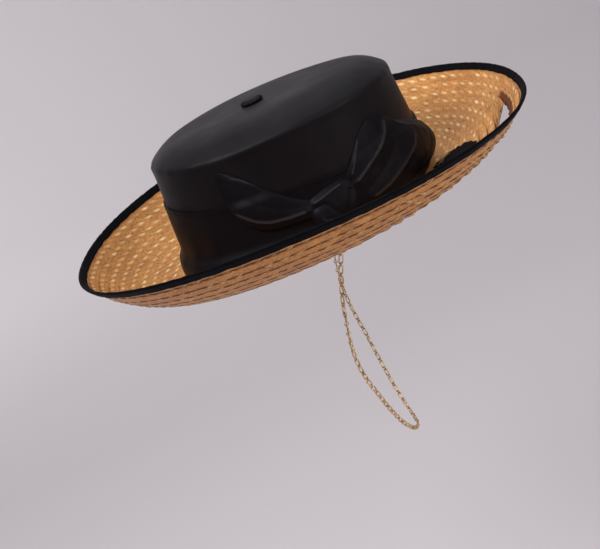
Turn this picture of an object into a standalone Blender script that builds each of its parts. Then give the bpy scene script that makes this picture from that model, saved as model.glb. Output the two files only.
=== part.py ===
"""Straw hat with a cloth-covered crown, a flat side bow and a chain under the chin.

Metres, +Z up the crown, +X to the hat's front, +Y to the wearer's left.
The origin is the middle of the head opening.
"""
import math

import bmesh
import bpy
import numpy as np

# Head opening and the brim that rises from it
head_half_length = 0.096
head_half_width = 0.080
head_corner = 2.1          # exponent of the oval: 2 is an ellipse, more is squarer
seat_lift = 0.0079         # the opening's front lies this far above its middle
rim_half_length = 0.1753
rim_half_width = 0.1656
rim_corner = 2.19
rim_height = 0.0382        # mean height of the rim above the head opening
rim_front_lift = 0.0048
rim_side_lift = 0.0034
bowl_curve = 2.74          # how late the brim turns up
straw_wall = 0.0018
plait_width = 0.0087       # one sewn row of straw plait
plait_step = 0.0006        # how far each row laps over the next
plait_riser = 0.12         # share of a row's width that its step takes
foot_margin = 0.0120       # smooth stretch of brim under the crown's foot

# Split between two rows near the front
split_from = math.radians(-3.0)
split_to = math.radians(-29.0)
split_place = 0.74         # share of the way from the opening to the rim
split_width = 0.0092

# Ribbon over the rim
ribbon_reach = 0.0050
ribbon_wall = 0.0009

# Crown
crown_height = 0.0819      # from the head opening's middle to the top edge
foot_lap = 0.0052          # the crown's foot stands this far outside the opening
crown_draw_in = 0.0074     # the top edge lies this far inside the foot
crown_corner = 2.15
crown_foot_back = 0.0011   # how far the foot's middle lies behind the origin
crown_top_back = 0.0026
shoulder_rise = 0.0138     # from the top edge to the flat top
shoulder_curve = 7.0
top_lean = 0.0016          # the front of the top lies this far above its middle
crown_wall = 0.0020

# Covered button
button_radius = 0.0084
button_height = 0.0026
button_back = 0.0069       # how far it lies behind the middle of the top
button_side = 0.0030       # and how far towards the wearer's right
button_edge = 0.3          # rounded share of its height

# Cloth band round the foot of the crown
band_back_height = 0.0500
band_front_height = 0.0420
band_wall = 0.0012
band_back_roll = 0.0032
band_front_roll = 0.0010

# Bow on the wearer's right side
knot_puff = 0.0070
back_loop_puff = 0.0034
front_loop_puff = 0.0085
loop_edge = 0.0010
pleat_depth = 0.0007
pleats = 3
roll_reach = 0.5           # share of the crown's height up to which the roll pushes a drape out
roll_clearance = 1.15

# Chain under the chin
chain_width = 0.0032
chain_spacing = 0.0108     # distance between the tube's points
eye_ring_radius = 0.0026
eye_wire = 0.0005
eye_plate_width = 0.0060
eye_plate_wall = 0.0012
eye_plate_height = 0.0060

gap = 0.0003               # clearance between touching pieces
around = 54                # points round each oval

# Sizes that follow from those above
foot_half_length = head_half_length + foot_lap
foot_half_width = head_half_width + foot_lap
top_half_length = foot_half_length - crown_draw_in
top_half_width = foot_half_width - crown_draw_in
brim_run = rim_half_length - head_half_length
foot_share = (foot_lap + crown_foot_back) / min(brim_run, rim_half_width - head_half_width)

# Angles are counted from the front, towards the wearer's left
turn = np.arange(around) * math.tau / around

# Share of the height up the band, share of the roll at the front, and at the back
band_section = (
    ("height", "front_roll", "back_roll"),
    (0.00, 0.30, 0.30),
    (0.10, 0.75, 0.90),
    (0.24, 1.00, 1.00),
    (0.38, 0.90, 0.45),
    (0.62, 0.55, 0.12),
    (1.00, 0.00, 0.00),
)

# Drape tables: angle in degrees from the front, heights as shares of the crown's
# height above the foot, and fullness as a share of the piece's puff
knot_table = (
    ("angle", "low", "high", "fullness"),
    (-86.0, 0.20, 0.41, 0.45),
    (-82.0, 0.13, 0.45, 0.90),
    (-76.0, 0.11, 0.47, 1.00),
    (-70.5, 0.15, 0.46, 0.80),
    (-67.5, 0.20, 0.42, 0.40),
)

back_loop_table = (
    ("angle", "low", "high", "fullness"),
    (-87.6, 0.31, 0.42, 0.60),
    (-93.0, 0.30, 0.52, 0.85),
    (-99.0, 0.30, 0.64, 1.00),
    (-105.0, 0.34, 0.76, 0.90),
    (-110.0, 0.42, 0.85, 0.75),
    (-114.0, 0.52, 0.89, 0.50),
    (-116.2, 0.62, 0.85, 0.20),
)

front_loop_table = (
    ("angle", "low", "high", "fullness"),
    (-65.8, 0.18, 0.42, 0.30),
    (-61.5, 0.12, 0.59, 0.38),
    (-56.0, 0.09, 0.72, 0.42),
    (-49.0, 0.07, 0.79, 0.44),
    (-41.0, 0.07, 0.78, 0.46),
    (-32.0, 0.08, 0.67, 0.48),
    (-22.0, 0.09, 0.585, 0.49),
    (-12.0, 0.11, 0.485, 0.52),
    (-3.0, 0.12, 0.40, 0.60),
    (3.0, 0.12, 0.37, 0.46),
    (7.5, 0.16, 0.31, 0.26),
)

# Share of the way up a drape, and its share of the fullness there
drape_section = (
    ("up", "full"),
    (0.00, 0.00),
    (0.07, 0.62),
    (0.20, 0.90),
    (0.38, 1.00),
    (0.56, 0.88),
    (0.74, 0.62),
    (0.90, 0.34),
    (1.00, 0.00),
)

# The chain's route on the wearer's right, hand-chosen from its eye to the chin
chain_route = (
    (0.0175, -0.0760, 0.0010),
    (0.0125, -0.0760, -0.0135),
    (0.0074, -0.0760, -0.0268),
    (0.0015, -0.0756, -0.0451),
    (-0.0019, -0.0748, -0.0609),
    (-0.0051, -0.0730, -0.0775),
    (-0.0068, -0.0703, -0.0929),
    (-0.0068, -0.0672, -0.1060),
    (-0.0053, -0.0625, -0.1209),
    (-0.0030, -0.0572, -0.1345),
    (-0.0011, -0.0505, -0.1488),
    (0.0012, -0.0425, -0.1630),
    (0.0038, -0.0330, -0.1775),
    (0.0066, -0.0245, -0.1882),
    (0.0093, -0.0160, -0.1966),
    (0.0117, -0.0080, -0.2016),
    (0.0126, 0.0000, -0.2031),
)


def clear_scene():
    for item in list(bpy.data.objects):
        bpy.data.objects.remove(item, do_unlink=True)


def make_collection(name, hidden=False):
    group = bpy.data.collections.new(name)
    bpy.context.scene.collection.children.link(group)
    group.hide_render = hidden
    return group


def make_material(name, colour, roughness, metallic=0.0):
    material = bpy.data.materials.new(name)
    material.use_nodes = True
    shader = material.node_tree.nodes["Principled BSDF"]
    shader.inputs["Base Color"].default_value = (*colour, 1.0)
    shader.inputs["Roughness"].default_value = roughness
    shader.inputs["Metallic"].default_value = metallic
    return material


def add_object(name, mesh, group, material=None):
    piece = bpy.data.objects.new(name, mesh)
    group.objects.link(piece)
    if material is not None:
        mesh.materials.append(material)
        mesh.shade_smooth()
        mesh.set_sharp_from_angle(angle=math.radians(40.0))
    return piece


def link_to(piece, group):
    for holder in list(piece.users_collection):
        holder.objects.unlink(piece)
    group.objects.link(piece)


def oval(angle, half_length, half_width, corner):
    """Superellipse: x = L cos^(2/n), y = W sin^(2/n), each with its sign."""
    cosine, sine = np.cos(angle), np.sin(angle)
    x = np.sign(cosine) * np.abs(cosine) ** (2.0 / corner) * half_length
    y = np.sign(sine) * np.abs(sine) ** (2.0 / corner) * half_width
    return x, y


def seat_height(angle):
    return seat_lift * np.cos(angle)


def brim_point(angle, share, lift=0.0):
    """Top face of the brim: straight in plan, height rising as share^bowl_curve."""
    inner_x, inner_y = oval(angle, head_half_length, head_half_width, head_corner)
    outer_x, outer_y = oval(angle, rim_half_length, rim_half_width, rim_corner)
    low = seat_height(angle)
    high = rim_height + rim_front_lift * np.cos(angle) - rim_side_lift * np.cos(2.0 * angle)
    run_x, run_y = outer_x - inner_x, outer_y - inner_y
    run = np.hypot(run_x, run_y)
    slope = (high - low) * bowl_curve * share ** (bowl_curve - 1.0) / run
    length = np.sqrt(1.0 + slope ** 2)
    x = inner_x + run_x * share - lift * slope / length * run_x / run
    y = inner_y + run_y * share - lift * slope / length * run_y / run
    z = low + (high - low) * share ** bowl_curve + lift / length
    return np.stack([x, y, z], axis=-1)


def brim_shares():
    """Fine shares of the way out, and the length travelled along the brim's side there."""
    shares = np.linspace(0.0, 1.0, 400)
    side = brim_point(np.array([0.5 * math.pi]), shares[:, None])[:, 0, :]
    steps = np.linalg.norm(np.diff(side, axis=0), axis=1)
    return shares, np.concatenate([[0.0], np.cumsum(steps)])


def foot_height(angle):
    """Where the crown's foot stands: a gap above the brim at the foot's outer edge."""
    low = seat_height(angle)
    return low + (rim_height - low) * foot_share ** bowl_curve + gap


def crown_point(angle, share, lift=0.0):
    """Side of the crown: an oval that shrinks in a straight line from foot to top edge."""
    low = foot_height(angle)
    shrink = lift - crown_draw_in * share
    x, y = oval(angle, foot_half_length + shrink, foot_half_width + shrink, crown_corner)
    x = x - crown_foot_back - (crown_top_back - crown_foot_back) * share
    z = low + (crown_height - low) * share
    return np.stack([x, y, z], axis=-1)


def crown_share(angle, height):
    low = foot_height(angle)
    return (height - low) / (crown_height - low)


def top_point(angle, share):
    """Top of the crown: flat in the middle, falling to the edge as share^shoulder_curve."""
    x, y = oval(angle, top_half_length * share, top_half_width * share, crown_corner)
    rise = shoulder_rise * (1.0 - share ** shoulder_curve)
    lean = top_lean * (1.0 - share ** shoulder_curve) * x / top_half_length
    return np.stack([x - crown_top_back, y, crown_height + rise + lean], axis=-1)


def bridge_rings(mesh_name, rings, closed_section=False, centre=None):
    """Quads between rings of equal count; a centre point closes the last ring."""
    count = len(rings[0])
    points = np.concatenate(rings)
    faces = []
    last = len(rings) if closed_section else len(rings) - 1
    for row in range(last):
        here, there = row * count, (row + 1) % len(rings) * count
        for step in range(count):
            after = (step + 1) % count
            faces.append((here + step, here + after, there + after, there + step))
    if centre is not None:
        points = np.concatenate([points, centre[None, :]])
        base = (len(rings) - 1) * count
        for step in range(count):
            faces.append((base + step, base + (step + 1) % count, len(points) - 1))
    mesh = bpy.data.meshes.new(mesh_name)
    mesh.from_pydata([tuple(point) for point in points], [], faces)
    mesh.update()
    return mesh


def face_outwards(mesh):
    shape = bmesh.new()
    shape.from_mesh(mesh)
    bmesh.ops.recalc_face_normals(shape, faces=shape.faces)
    shape.to_mesh(mesh)
    shape.free()


def face_up(mesh):
    """Turn every face of an open surface so that its normals point up."""
    shape = bmesh.new()
    shape.from_mesh(mesh)
    bmesh.ops.recalc_face_normals(shape, faces=shape.faces)
    shape.normal_update()
    if sum(face.normal.z * face.calc_area() for face in shape.faces) < 0.0:
        bmesh.ops.reverse_faces(shape, faces=shape.faces)
    shape.to_mesh(mesh)
    shape.free()


def add_wall(piece, thickness):
    """Give an open surface its wall, on the side that its faces turn away from."""
    wall = piece.modifiers.new("wall", "SOLIDIFY")
    wall.thickness = thickness
    wall.offset = -1.0
    wall.use_even_offset = True


def plait_profile(slant):
    """Length along the brim and lift of each ring: a ramp and a step for every row."""
    end = slant - ribbon_reach - 2.0 * gap
    rows = max(4, round((end - foot_margin) / plait_width))
    starts = np.linspace(foot_margin, end, rows + 1)
    riser = plait_riser * plait_width
    profile = [(0.0, 0.0), (starts[0], -0.5 * plait_step)]
    for row in range(rows):
        profile.append((starts[row] + riser, 0.5 * plait_step))
        profile.append((starts[row + 1], -0.5 * plait_step))
    profile.append((end + riser, 0.0))
    profile.append((slant, 0.0))
    return profile


def make_brim(group, cutters, material):
    shares, travelled = brim_shares()
    rings = []
    for place, lift in plait_profile(travelled[-1]):
        rings.append(brim_point(turn, np.interp(place, travelled, shares), lift))
    mesh = bridge_rings("brim", rings)
    face_up(mesh)
    brim = add_object("brim", mesh, group, material)
    add_wall(brim, straw_wall)
    cut = brim.modifiers.new("split", "BOOLEAN")
    cut.operation = "DIFFERENCE"
    cut.object = make_split_cutter(cutters)
    return brim


def make_split_cutter(cutters):
    """Lens-shaped slit along a row of plait, deeper than the wall on both sides."""
    steps = 8
    along = np.linspace(0.0, 1.0, steps + 1)
    angle = split_from + (split_to - split_from) * along
    half = 0.5 * split_width * np.sin(math.pi * along) / brim_run
    depth = 2.0 * (straw_wall + plait_step)
    sections = []
    for side, lift in ((-1, depth), (1, depth), (1, -depth), (-1, -depth)):
        sections.append(brim_point(angle[1:-1], split_place + side * half[1:-1], lift))
    tips = brim_point(angle[[0, -1]], split_place)
    points = np.concatenate([np.concatenate(sections), tips])
    inside = steps - 1
    faces = []
    for side in range(4):
        here, there = side * inside, (side + 1) % 4 * inside
        for step in range(inside - 1):
            faces.append((here + step, here + step + 1, there + step + 1, there + step))
        faces.append((here, there, 4 * inside))
        faces.append((here + inside - 1, 4 * inside + 1, there + inside - 1))
    mesh = bpy.data.meshes.new("split_cutter")
    mesh.from_pydata([tuple(point) for point in points], [], faces)
    face_outwards(mesh)
    cutter = add_object("split_cutter", mesh, cutters)
    cutter.hide_render = True
    cutter.display_type = "WIRE"
    return cutter


def make_binding(group, material):
    """Ribbon folded over the rim: a U section that keeps its gap to both straw faces."""
    shares, travelled = brim_shares()
    back = np.interp(travelled[-1] - ribbon_reach, travelled, shares)
    over, under = gap, -straw_wall - gap
    out = 1.0 + 2.0 * gap / brim_run
    lip = out + ribbon_wall / brim_run
    section = (
        (back, over),
        (back, over + ribbon_wall),
        (out, over + ribbon_wall),
        (lip, 0.5 * (over + under)),
        (out, under - ribbon_wall),
        (back, under - ribbon_wall),
        (back, under),
        (out, under),
        (out, over),
    )
    rings = [brim_point(turn, share, lift) for share, lift in section]
    mesh = bridge_rings("brim_binding", rings, closed_section=True)
    face_outwards(mesh)
    return add_object("brim_binding", mesh, group, material)


def make_crown(group, material):
    rings = [crown_point(turn, share) for share in (0.0, 1.0)]
    rings += [top_point(turn, share) for share in (0.97, 0.93, 0.87, 0.78, 0.60, 0.30)]
    centre = top_point(np.array([0.0]), 0.0)[0]
    mesh = bridge_rings("crown", rings, centre=centre)
    crown = add_object("crown", mesh, group, material)
    face_up(mesh)
    add_wall(crown, crown_wall)
    return crown


def make_button(group, material):
    """Flat covered disc, seated on the crown's top with its lean."""
    bpy.ops.mesh.primitive_cylinder_add(vertices=20, radius=button_radius, depth=button_height)
    button = bpy.context.object
    button.name = "crown_button"
    link_to(button, group)
    lean = top_lean / top_half_length
    height = crown_height + shoulder_rise - lean * button_back
    button.location = (-button_back - crown_top_back, -button_side, height + gap + 0.5 * button_height)
    button.rotation_euler = (0.0, -math.atan(lean), 0.0)
    button.data.materials.append(material)
    button.data.shade_smooth()
    button.data.set_sharp_from_angle(angle=math.radians(40.0))
    edge = button.modifiers.new("edge", "BEVEL")
    edge.width = button_edge * button_height
    edge.segments = 2
    edge.limit_method = "ANGLE"
    return button


def make_band(group, material):
    """Cloth wall against the crown, with a soft roll at its foot."""
    front = 0.5 + 0.5 * np.cos(turn)
    height = band_back_height + (band_front_height - band_back_height) * front
    roll = band_back_roll + (band_front_roll - band_back_roll) * front
    low = foot_height(turn) + gap
    rings = []
    for share, front_roll, back_roll in band_section[1:]:
        fullness = back_roll + (front_roll - back_roll) * front
        place = crown_share(turn, low + (height - low) * share)
        rings.append(crown_point(turn, place, gap + band_wall + roll * fullness))
    for share in (1.0, 0.0):
        rings.append(crown_point(turn, crown_share(turn, low + (height - low) * share), gap))
    mesh = bridge_rings("crown_band", rings, closed_section=True)
    face_outwards(mesh)
    return add_object("crown_band", mesh, group, material)


def drape_angles(table):
    """The table's own angles with those of the oval's points between them, in degrees."""
    own = [row[0] for row in table[1:]]
    grid = np.degrees(turn)
    grid = np.concatenate([grid - 360.0, grid])
    shared = [angle for angle in grid if own[0] < angle < own[-1] or own[-1] < angle < own[0]]
    angles = sorted(own + [angle for angle in shared if min(abs(angle - other) for other in own) > 0.8])
    return np.array(angles)


def make_drape(name, table, puff, group, material):
    """Cloth lying over the band: sections round the crown, pleated and full between edges."""
    rows = sorted(table[1:])
    columns = np.array(rows).T
    inside = band_wall + 2.5 * gap
    ups = np.array([row[0] for row in drape_section[1:]])
    fulls = np.array([row[1] for row in drape_section[1:]])
    back_ups = np.array([1.0, 0.66, 0.33, 0.0])
    rings = []
    for degrees in drape_angles(table):
        low, high, fullness = [np.interp(degrees, columns[0], column) for column in columns[1:]]
        angle = math.radians(degrees)
        front = 0.5 + 0.5 * math.cos(angle)
        roll = band_back_roll + (band_front_roll - band_back_roll) * front
        foot = np.clip(1.0 - (low + (high - low) * back_ups) / roll_reach, 0.0, 1.0)
        under = inside + roll_clearance * roll * foot
        ripple = pleat_depth * fullness * np.sin(pleats * math.tau * ups) * (fulls > 0.0)
        lift = np.interp(ups, back_ups[::-1], under[::-1]) + loop_edge + fulls * fullness * puff + ripple
        outer = crown_point(np.full(len(ups), angle), low + (high - low) * ups, lift)
        back = crown_point(np.full(len(under), angle), low + (high - low) * back_ups, under)
        rings.append(np.concatenate([outer, back]))
    mesh = bridge_rings(name, rings)
    close_ends(mesh, len(rings[0]), len(rings))
    face_outwards(mesh)
    return add_object(name, mesh, group, material)


def close_ends(mesh, count, sections):
    """Fan each end section of a drape to its own middle point."""
    shape = bmesh.new()
    shape.from_mesh(mesh)
    shape.verts.ensure_lookup_table()
    corners = list(shape.verts)
    for base in (0, (sections - 1) * count):
        ring = corners[base:base + count]
        middle = shape.verts.new(sum((vert.co for vert in ring), ring[0].co * 0.0) / count)
        for step in range(count):
            shape.faces.new((ring[step], ring[(step + 1) % count], middle))
    shape.to_mesh(mesh)
    shape.free()


def smooth_route(points, spacing):
    """Centripetal-like spline through the points (Catmull-Rom), read at even spacing."""
    points = np.array(points)
    padded = np.concatenate([[2 * points[0] - points[1]], points, [2 * points[-1] - points[-2]]])
    share = np.linspace(0.0, 1.0, 12, endpoint=False)[:, None]
    runs = []
    for start in range(len(points) - 1):
        before, here, there, after = padded[start:start + 4]
        runs.append(0.5 * (2.0 * here + (there - before) * share
                           + (2.0 * before - 5.0 * here + 4.0 * there - after) * share ** 2
                           + (3.0 * here - before - 3.0 * there + after) * share ** 3))
    path = np.concatenate(runs + [points[-1:]])
    travelled = np.concatenate([[0.0], np.cumsum(np.linalg.norm(np.diff(path, axis=0), axis=1))])
    count = max(8, round(travelled[-1] / spacing))
    places = np.linspace(0.0, travelled[-1], count + 1)
    return np.stack([np.interp(places, travelled, path[:, axis]) for axis in range(3)], axis=1)


def make_chain(group, material):
    """The chain's outer form: a tube along the whole loop, chin at its middle."""
    mirrored = [(x, -y, z) for x, y, z in reversed(chain_route[:-1])]
    path = smooth_route(list(chain_route) + mirrored, chain_spacing)
    curve = bpy.data.curves.new("chin_chain", "CURVE")
    curve.dimensions = "3D"
    curve.bevel_depth = 0.5 * chain_width
    curve.bevel_resolution = 2
    curve.use_fill_caps = True
    spline = curve.splines.new("POLY")
    spline.points.add(len(path) - 1)
    for point, place in zip(spline.points, path):
        point.co = (*place, 1.0)
    curve.materials.append(material)
    chain = bpy.data.objects.new("chin_chain", curve)
    group.objects.link(chain)
    return chain


def make_box(size, place, cutters):
    bpy.ops.mesh.primitive_cube_add(size=1.0, location=place)
    box = bpy.context.object
    box.scale = size
    bpy.ops.object.transform_apply(location=False, rotation=False, scale=True)
    link_to(box, cutters)
    box.hide_render = True
    box.display_type = "WIRE"
    return box


def make_eye(name, side, group, cutters, material):
    """Small plate inside the crown's foot, with a ring that the chain's last link hangs in."""
    end, below = np.array(chain_route[0]), np.array(chain_route[1])
    tilt = abs(end[0] - below[0]) / np.linalg.norm(end - below)
    ring_height = end[2] + 0.5 * chain_width * tilt + gap + eye_wire + eye_ring_radius
    plate_middle = ring_height + 0.25 * eye_plate_height
    plate_top = plate_middle + 0.5 * eye_plate_height
    angle = np.array([-math.acos((end[0] / foot_half_length) ** (0.5 * crown_corner))])
    wall = abs(crown_point(angle, crown_share(angle, plate_top))[0, 1]) - crown_wall - 2.0 * gap
    reach = wall - abs(end[1]) - eye_ring_radius + eye_wire
    bpy.ops.mesh.primitive_torus_add(major_radius=eye_ring_radius, minor_radius=eye_wire,
                                     major_segments=12, minor_segments=6,
                                     location=(end[0], side * abs(end[1]), ring_height),
                                     rotation=(0.5 * math.pi, 0.0, 0.5 * math.pi))
    eye = bpy.context.object
    eye.name = name
    link_to(eye, group)
    eye.data.materials.append(material)
    parts = (
        make_box((eye_plate_width, reach, eye_plate_wall),
                 (end[0], side * (wall - 0.5 * reach), ring_height), cutters),
        make_box((eye_plate_width, eye_plate_wall, eye_plate_height),
                 (end[0], side * (wall - 0.5 * eye_plate_wall), plate_middle), cutters),
    )
    for part in parts:
        join = eye.modifiers.new("join", "BOOLEAN")
        join.operation = "UNION"
        join.object = part
    return eye


def main():
    clear_scene()
    hat = make_collection("straw_hat")
    cutters = make_collection("cutters", hidden=True)
    straw = make_material("straw", (0.62, 0.42, 0.20), 0.55)
    cover = make_material("crown_cloth", (0.028, 0.027, 0.030), 0.62)
    silk = make_material("bow_cloth", (0.014, 0.013, 0.016), 0.55)
    ribbon = make_material("ribbon", (0.009, 0.009, 0.011), 0.80)
    gold = make_material("gold_chain", (0.72, 0.50, 0.22), 0.30, 1.0)
    make_brim(hat, cutters, straw)
    make_binding(hat, ribbon)
    make_crown(hat, cover)
    make_button(hat, cover)
    make_band(hat, silk)
    make_drape("bow_knot", knot_table, knot_puff, hat, silk)
    make_drape("bow_loop_back", back_loop_table, back_loop_puff, hat, silk)
    make_drape("bow_loop_front", front_loop_table, front_loop_puff, hat, silk)
    make_chain(hat, gold)
    make_eye("chain_eye_right", -1, hat, cutters, gold)
    make_eye("chain_eye_left", 1, hat, cutters, gold)


main()
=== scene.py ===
import bpy
import math
import numpy as np
from mathutils import Matrix, Vector


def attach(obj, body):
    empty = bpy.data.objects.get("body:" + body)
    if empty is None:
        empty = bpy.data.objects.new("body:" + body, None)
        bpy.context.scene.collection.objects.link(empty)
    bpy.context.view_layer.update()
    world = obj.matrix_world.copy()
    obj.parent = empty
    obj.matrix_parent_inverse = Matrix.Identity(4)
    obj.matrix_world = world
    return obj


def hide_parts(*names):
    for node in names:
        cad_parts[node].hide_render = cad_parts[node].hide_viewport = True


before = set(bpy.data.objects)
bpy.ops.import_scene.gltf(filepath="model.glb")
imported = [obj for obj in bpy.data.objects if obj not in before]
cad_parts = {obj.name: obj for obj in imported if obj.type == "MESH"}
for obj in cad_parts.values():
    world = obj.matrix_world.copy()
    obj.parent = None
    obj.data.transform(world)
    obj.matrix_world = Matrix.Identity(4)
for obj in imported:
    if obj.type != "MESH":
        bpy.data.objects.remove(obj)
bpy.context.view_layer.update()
print("frame loaded")

# The hat's form in metres: its solids' sizes, and two small changes to the crown that the solids leave out
hatForm = {
    "headLength": 0.096,    # half sizes of the head opening
    "headWidth": 0.080,
    "headCorner": 2.1,      # exponent of an oval: 2 is an ellipse, more is squarer
    "seatLift": 0.0079,     # how far the opening's front lies above its middle
    "rimLength": 0.1753,    # half sizes of the rim
    "rimWidth": 0.1656,
    "rimCorner": 2.19,
    "rimHeight": 0.0382,    # the rim's mean height, then what the front and the two sides add
    "rimFrontLift": 0.0048,
    "rimSideLift": 0.0034,
    "bowlCurve": 2.74,      # how late the brim turns up
    "strawWall": 0.0018,
    "footLap": 0.0052,      # the crown's foot stands this far outside the opening
    "crownHeight": 0.0819,
    "crownDrawIn": 0.0074,  # the top edge stands this far inside the foot
    "crownCorner": 2.15,
    "footBack": 0.0011,
    "topBack": 0.0026,
    "shoulderRise": 0.0138,     # from the top's edge to its flat middle
    "shoulderCurve": 7.0,
    "topLean": 0.0016,
    "footTuck": 0.0042,     # the foot is drawn in this far at the front right, where the bow holds it
    "tuckHeight": 0.16,     # share of the crown's height where that ends
    "frontRise": 0.0030,    # the top's edge is pushed up this far at the front right
    "riseTurn": 28.0,       # degrees from the front to the middle of that
    "crownWall": 0.0020,
    "gap": 0.0003,
}
foot = {
    "length": hatForm["headLength"] + hatForm["footLap"],
    "width": hatForm["headWidth"] + hatForm["footLap"],
}
fullTurn = 2.0 * math.pi

# Mesh helpers


def smoothStep(value, low, high):
    # 0 below low, 1 above high, 3q^2 - 2q^3 between
    share = np.clip((value - low) / (high - low), 0.0, 1.0)
    return share * share * (3.0 - 2.0 * share)


def waves(angle, seed, lowest, highest, height=0.0, tall=0.0):
    # sum of cosines of whole turns with seeded phases, about -1 to 1; tall lets it change with height too
    random = np.random.default_rng(seed)
    turns = np.arange(lowest, highest + 1)
    phases = random.uniform(0.0, fullTurn, len(turns))
    slopes = random.normal(0.0, tall, len(turns))
    total = 0.0
    for turn, phase, slope in zip(turns, phases, slopes):
        total = total + np.cos(turn * angle + phase + slope * height)
    return total / math.sqrt(0.5 * len(turns)) * 0.6


def ringAngles(count):
    # even turns round a circle
    return np.arange(count) / count * fullTurn


def unit(vectors):
    # each vector over its own length
    return vectors / np.linalg.norm(vectors, axis=-1)[..., None]


def walkOf(points):
    # length walked along a line of points, from 0
    return np.concatenate([[0.0], np.cumsum(np.linalg.norm(np.diff(points, axis=0), axis=-1))])


def uvOf(along, across):
    # layout in centimetres, one pair for each corner
    return np.stack(np.broadcast_arrays(along, across), axis=-1)


def tubeQuads(rows, columns, closeRows=False, first=0):
    # quads between neighbouring points of a grid whose columns close round, and its rows too with closeRows
    row, column = np.meshgrid(np.arange(rows - (not closeRows)), np.arange(columns), indexing="ij")
    nextRow, nextColumn = (row + 1) % rows, (column + 1) % columns
    quads = first + np.stack([row * columns + column, row * columns + nextColumn,
                              nextRow * columns + nextColumn, nextRow * columns + column], axis=-1)
    return quads.reshape(-1, 4)


def signedVolume(points, faceSets):
    # six times the volume is the sum of triple products of the faces' fan triangles
    total = 0.0
    for faces in faceSets:
        for corner in range(1, faces.shape[1] - 1):
            a, b, c = points[faces[:, 0]], points[faces[:, corner]], points[faces[:, corner + 1]]
            total += float(np.einsum("ij,ij->", a, np.cross(b, c)))
    return total / 6.0


def buildMesh(name, points, faceSets, uvSets=None, values=None):
    # faceSets are arrays of corner indices, each with its own count of corners
    # faces are turned to point outwards where the volume comes out negative
    if signedVolume(points, faceSets) < 0.0:
        faceSets = [faces[:, ::-1] for faces in faceSets]
        uvSets = None if uvSets is None else [corners[:, ::-1] for corners in uvSets]
    mesh = bpy.data.meshes.new(name)
    corners = np.concatenate([faces.reshape(-1) for faces in faceSets])
    counts = np.concatenate([np.full(len(faces), faces.shape[1]) for faces in faceSets])
    mesh.vertices.add(len(points))
    mesh.vertices.foreach_set("co", np.ascontiguousarray(points, dtype=np.float32).reshape(-1))
    mesh.loops.add(len(corners))
    mesh.loops.foreach_set("vertex_index", corners.astype(np.int32))
    mesh.polygons.add(len(counts))
    mesh.polygons.foreach_set("loop_start", (np.cumsum(counts) - counts).astype(np.int32))
    mesh.update(calc_edges=True)
    if uvSets is not None:
        layer = mesh.uv_layers.new(name="lay")
        flat = np.concatenate([corners.reshape(-1, 2) for corners in uvSets])
        layer.data.foreach_set("uv", flat.astype(np.float32).reshape(-1))
    for key, value in (values or {}).items():
        attribute = mesh.attributes.new(key, "FLOAT", "POINT")
        attribute.data.foreach_set("value", np.asarray(value, dtype=np.float32).reshape(-1))
    mesh.validate()
    mesh.shade_smooth()
    return mesh


def gridMesh(name, grid, wrapRows=False, uv=None, values=None):
    # a tube's quads; where its rows don't close round, both open ends are fanned to their middle
    rows, columns = grid.shape[:2]
    points = grid.reshape(-1, 3)
    faceSets, uvSets = [tubeQuads(rows, columns, wrapRows)], None
    if uv is not None:
        before, after = uv[:rows - (not wrapRows)], uv[1:]
        corners = [before[:, :-1], before[:, 1:], after[:, 1:], after[:, :-1]]
        uvSets = [np.stack(corners, axis=-2).reshape(-1, 4, 2)]
    if not wrapRows:
        ring = np.arange(columns)
        after = (ring + 1) % columns
        last = (rows - 1) * columns
        points = np.concatenate([points, grid[:1].mean(axis=1), grid[-1:].mean(axis=1)])
        startPole, endPole = np.full(columns, rows * columns), np.full(columns, rows * columns + 1)
        fans = np.concatenate([np.stack([after, ring, startPole], axis=-1),
                               np.stack([last + ring, last + after, endPole], axis=-1)])
        faceSets.append(fans)
        if uv is not None:
            edges = []
            for edge, flip in ((uv[0], True), (uv[-1], False)):
                middle = np.repeat(edge[:columns].mean(axis=0)[None], columns, axis=0)
                pair = [edge[:columns], edge[1:columns + 1]]
                edges.append(np.stack([*(pair[::-1] if flip else pair), middle], axis=1))
            uvSets.append(np.concatenate(edges))
        values = {key: np.concatenate([value.reshape(-1), value[[0, -1]].mean(axis=1)])
                  for key, value in (values or {}).items()}
    return buildMesh(name, points, faceSets, uvSets, values)


def newObject(name, data):
    made = bpy.data.objects.new(name, data)
    bpy.context.scene.collection.objects.link(made)
    return made


def addPiece(name, mesh, material, replaced=(), sharpAngle=None):
    # an object at the origin that rides on the hat and takes the place of its solids
    piece = newObject(name, mesh)
    mesh.materials.append(material)
    if sharpAngle is not None:
        mesh.set_sharp_from_angle(angle=math.radians(sharpAngle))
    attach(piece, "root")
    if replaced:
        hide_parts(*replaced)
    print(f"{name}: {sum(len(face.vertices) - 2 for face in mesh.polygons)} triangles, half its surface is "
          f"{5000.0 * sum(face.area for face in mesh.polygons):.0f} square cm")
    return piece


# The hat's own surfaces


def oval(angle, halfLength, halfWidth, corner):
    # superellipse: x is L cos^(2/n), y is W sin^(2/n), each with its sign
    cosine, sine = np.cos(angle), np.sin(angle)
    x = np.sign(cosine) * np.abs(cosine) ** (2.0 / corner) * halfLength
    y = np.sign(sine) * np.abs(sine) ** (2.0 / corner) * halfWidth
    return x, y


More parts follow.
